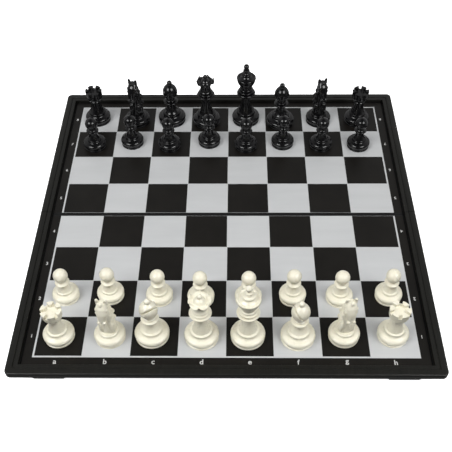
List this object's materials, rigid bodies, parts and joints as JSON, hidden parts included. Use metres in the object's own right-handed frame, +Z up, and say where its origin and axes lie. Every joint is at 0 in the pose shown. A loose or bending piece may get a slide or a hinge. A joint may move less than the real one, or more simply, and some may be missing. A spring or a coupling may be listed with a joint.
{
  "type": "folding magnetic travel chess set",
  "caption": "Folding chess board with hinged plastic leaves, a raised rim, silver and black squares and hollow storage below, and a full set of ivory and black turned men.",
  "frame": {"origin": "centre of the board in plan, at the level of the surface it stands on (underside of the foot pads)", "axes": "+X from file a to file h along the hinge, +Y from White's side to Black's side, +Z up out of the playing surface"},
  "size_m": [0.3208, 0.3232, 0.0812],
  "materials": {
    "tray_plastic": "satin moulded black",
    "rim_plastic": "satin moulded black, faint streaks along the sides",
    "silver_sheet": "satin silver",
    "black_print": "smooth semi-matte black print",
    "hinge_steel": "plain steel",
    "foot_rubber": "matte black",
    "ivory_plastic": "semi-gloss ivory",
    "ebony_plastic": "high-gloss black"
  },
  "bodies": {
    "back_leaf": {"back_tray": "tray_plastic", "back_rim": "rim_plastic", "back_sheet": "silver_sheet", "back_print": "black_print", "back_left_foot": "foot_rubber", "back_right_foot": "foot_rubber", "left_hinge_pin": "hinge_steel", "right_hinge_pin": "hinge_steel"},
    "front_leaf": {"front_tray": "tray_plastic", "front_rim": "rim_plastic", "front_sheet": "silver_sheet", "front_print": "black_print", "front_left_foot": "foot_rubber", "front_right_foot": "foot_rubber"},
    "white_rook_a_man": {"white_rook_a": "ivory_plastic"},
    "white_knight_b_man": {"white_knight_b": "ivory_plastic"},
    "white_bishop_c_man": {"white_bishop_c": "ivory_plastic"},
    "white_queen_d_man": {"white_queen_d": "ivory_plastic"},
    "white_king_e_man": {"white_king_e": "ivory_plastic"},
    "white_bishop_f_man": {"white_bishop_f": "ivory_plastic"},
    "white_knight_g_man": {"white_knight_g": "ivory_plastic"},
    "white_rook_h_man": {"white_rook_h": "ivory_plastic"},
    "white_pawn_a_man": {"white_pawn_a": "ivory_plastic"},
    "white_pawn_b_man": {"white_pawn_b": "ivory_plastic"},
    "white_pawn_c_man": {"white_pawn_c": "ivory_plastic"},
    "white_pawn_d_man": {"white_pawn_d": "ivory_plastic"},
    "white_pawn_e_man": {"white_pawn_e": "ivory_plastic"},
    "white_pawn_f_man": {"white_pawn_f": "ivory_plastic"},
    "white_pawn_g_man": {"white_pawn_g": "ivory_plastic"},
    "white_pawn_h_man": {"white_pawn_h": "ivory_plastic"},
    "black_rook_a_man": {"black_rook_a": "ebony_plastic"},
    "black_knight_b_man": {"black_knight_b": "ebony_plastic"},
    "black_bishop_c_man": {"black_bishop_c": "ebony_plastic"},
    "black_queen_d_man": {"black_queen_d": "ebony_plastic"},
    "black_king_e_man": {"black_king_e": "ebony_plastic"},
    "black_bishop_f_man": {"black_bishop_f": "ebony_plastic"},
    "black_knight_g_man": {"black_knight_g": "ebony_plastic"},
    "black_rook_h_man": {"black_rook_h": "ebony_plastic"},
    "black_pawn_a_man": {"black_pawn_a": "ebony_plastic"},
    "black_pawn_b_man": {"black_pawn_b": "ebony_plastic"},
    "black_pawn_c_man": {"black_pawn_c": "ebony_plastic"},
    "black_pawn_d_man": {"black_pawn_d": "ebony_plastic"},
    "black_pawn_e_man": {"black_pawn_e": "ebony_plastic"},
    "black_pawn_f_man": {"black_pawn_f": "ebony_plastic"},
    "black_pawn_g_man": {"black_pawn_g": "ebony_plastic"},
    "black_pawn_h_man": {"black_pawn_h": "ebony_plastic"}
  },
  "joints": [
    {"name": "board_fold", "type": "hinge", "parent": "back_leaf", "child": "front_leaf", "pos_m": [0, 0, 0.0025], "axis": [1, 0, 0], "range_deg": [0, 180]},
    {"name": "white_rook_a_lift", "type": "slide", "parent": "front_leaf", "child": "white_rook_a_man", "axis": [0, 0, 1], "range_m": [0, 0.1]},
    {"name": "white_knight_b_lift", "type": "slide", "parent": "front_leaf", "child": "white_knight_b_man", "axis": [0, 0, 1], "range_m": [0, 0.1]},
    {"name": "white_bishop_c_lift", "type": "slide", "parent": "front_leaf", "child": "white_bishop_c_man", "axis": [0, 0, 1], "range_m": [0, 0.1]},
    {"name": "white_queen_d_lift", "type": "slide", "parent": "front_leaf", "child": "white_queen_d_man", "axis": [0, 0, 1], "range_m": [0, 0.1]},
    {"name": "white_king_e_lift", "type": "slide", "parent": "front_leaf", "child": "white_king_e_man", "axis": [0, 0, 1], "range_m": [0, 0.1]},
    {"name": "white_bishop_f_lift", "type": "slide", "parent": "front_leaf", "child": "white_bishop_f_man", "axis": [0, 0, 1], "range_m": [0, 0.1]},
    {"name": "white_knight_g_lift", "type": "slide", "parent": "front_leaf", "child": "white_knight_g_man", "axis": [0, 0, 1], "range_m": [0, 0.1]},
    {"name": "white_rook_h_lift", "type": "slide", "parent": "front_leaf", "child": "white_rook_h_man", "axis": [0, 0, 1], "range_m": [0, 0.1]},
    {"name": "white_pawn_a_lift", "type": "slide", "parent": "front_leaf", "child": "white_pawn_a_man", "axis": [0, 0, 1], "range_m": [0, 0.1]},
    {"name": "white_pawn_b_lift", "type": "slide", "parent": "front_leaf", "child": "white_pawn_b_man", "axis": [0, 0, 1], "range_m": [0, 0.1]},
    {"name": "white_pawn_c_lift", "type": "slide", "parent": "front_leaf", "child": "white_pawn_c_man", "axis": [0, 0, 1], "range_m": [0, 0.1]},
    {"name": "white_pawn_d_lift", "type": "slide", "parent": "front_leaf", "child": "white_pawn_d_man", "axis": [0, 0, 1], "range_m": [0, 0.1]},
    {"name": "white_pawn_e_lift", "type": "slide", "parent": "front_leaf", "child": "white_pawn_e_man", "axis": [0, 0, 1], "range_m": [0, 0.1]},
    {"name": "white_pawn_f_lift", "type": "slide", "parent": "front_leaf", "child": "white_pawn_f_man", "axis": [0, 0, 1], "range_m": [0, 0.1]},
    {"name": "white_pawn_g_lift", "type": "slide", "parent": "front_leaf", "child": "white_pawn_g_man", "axis": [0, 0, 1], "range_m": [0, 0.1]},
    {"name": "white_pawn_h_lift", "type": "slide", "parent": "front_leaf", "child": "white_pawn_h_man", "axis": [0, 0, 1], "range_m": [0, 0.1]},
    {"name": "black_rook_a_lift", "type": "slide", "parent": "back_leaf", "child": "black_rook_a_man", "axis": [0, 0, 1], "range_m": [0, 0.1]},
    {"name": "black_knight_b_lift", "type": "slide", "parent": "back_leaf", "child": "black_knight_b_man", "axis": [0, 0, 1], "range_m": [0, 0.1]},
    {"name": "black_bishop_c_lift", "type": "slide", "parent": "back_leaf", "child": "black_bishop_c_man", "axis": [0, 0, 1], "range_m": [0, 0.1]},
    {"name": "black_queen_d_lift", "type": "slide", "parent": "back_leaf", "child": "black_queen_d_man", "axis": [0, 0, 1], "range_m": [0, 0.1]},
    {"name": "black_king_e_lift", "type": "slide", "parent": "back_leaf", "child": "black_king_e_man", "axis": [0, 0, 1], "range_m": [0, 0.1]},
    {"name": "black_bishop_f_lift", "type": "slide", "parent": "back_leaf", "child": "black_bishop_f_man", "axis": [0, 0, 1], "range_m": [0, 0.1]},
    {"name": "black_knight_g_lift", "type": "slide", "parent": "back_leaf", "child": "black_knight_g_man", "axis": [0, 0, 1], "range_m": [0, 0.1]},
    {"name": "black_rook_h_lift", "type": "slide", "parent": "back_leaf", "child": "black_rook_h_man", "axis": [0, 0, 1], "range_m": [0, 0.1]},
    {"name": "black_pawn_a_lift", "type": "slide", "parent": "back_leaf", "child": "black_pawn_a_man", "axis": [0, 0, 1], "range_m": [0, 0.1]},
    {"name": "black_pawn_b_lift", "type": "slide", "parent": "back_leaf", "child": "black_pawn_b_man", "axis": [0, 0, 1], "range_m": [0, 0.1]},
    {"name": "black_pawn_c_lift", "type": "slide", "parent": "back_leaf", "child": "black_pawn_c_man", "axis": [0, 0, 1], "range_m": [0, 0.1]},
    {"name": "black_pawn_d_lift", "type": "slide", "parent": "back_leaf", "child": "black_pawn_d_man", "axis": [0, 0, 1], "range_m": [0, 0.1]},
    {"name": "black_pawn_e_lift", "type": "slide", "parent": "back_leaf", "child": "black_pawn_e_man", "axis": [0, 0, 1], "range_m": [0, 0.1]},
    {"name": "black_pawn_f_lift", "type": "slide", "parent": "back_leaf", "child": "black_pawn_f_man", "axis": [0, 0, 1], "range_m": [0, 0.1]},
    {"name": "black_pawn_g_lift", "type": "slide", "parent": "back_leaf", "child": "black_pawn_g_man", "axis": [0, 0, 1], "range_m": [0, 0.1]},
    {"name": "black_pawn_h_lift", "type": "slide", "parent": "back_leaf", "child": "black_pawn_h_man", "axis": [0, 0, 1], "range_m": [0, 0.1]}
  ]
}
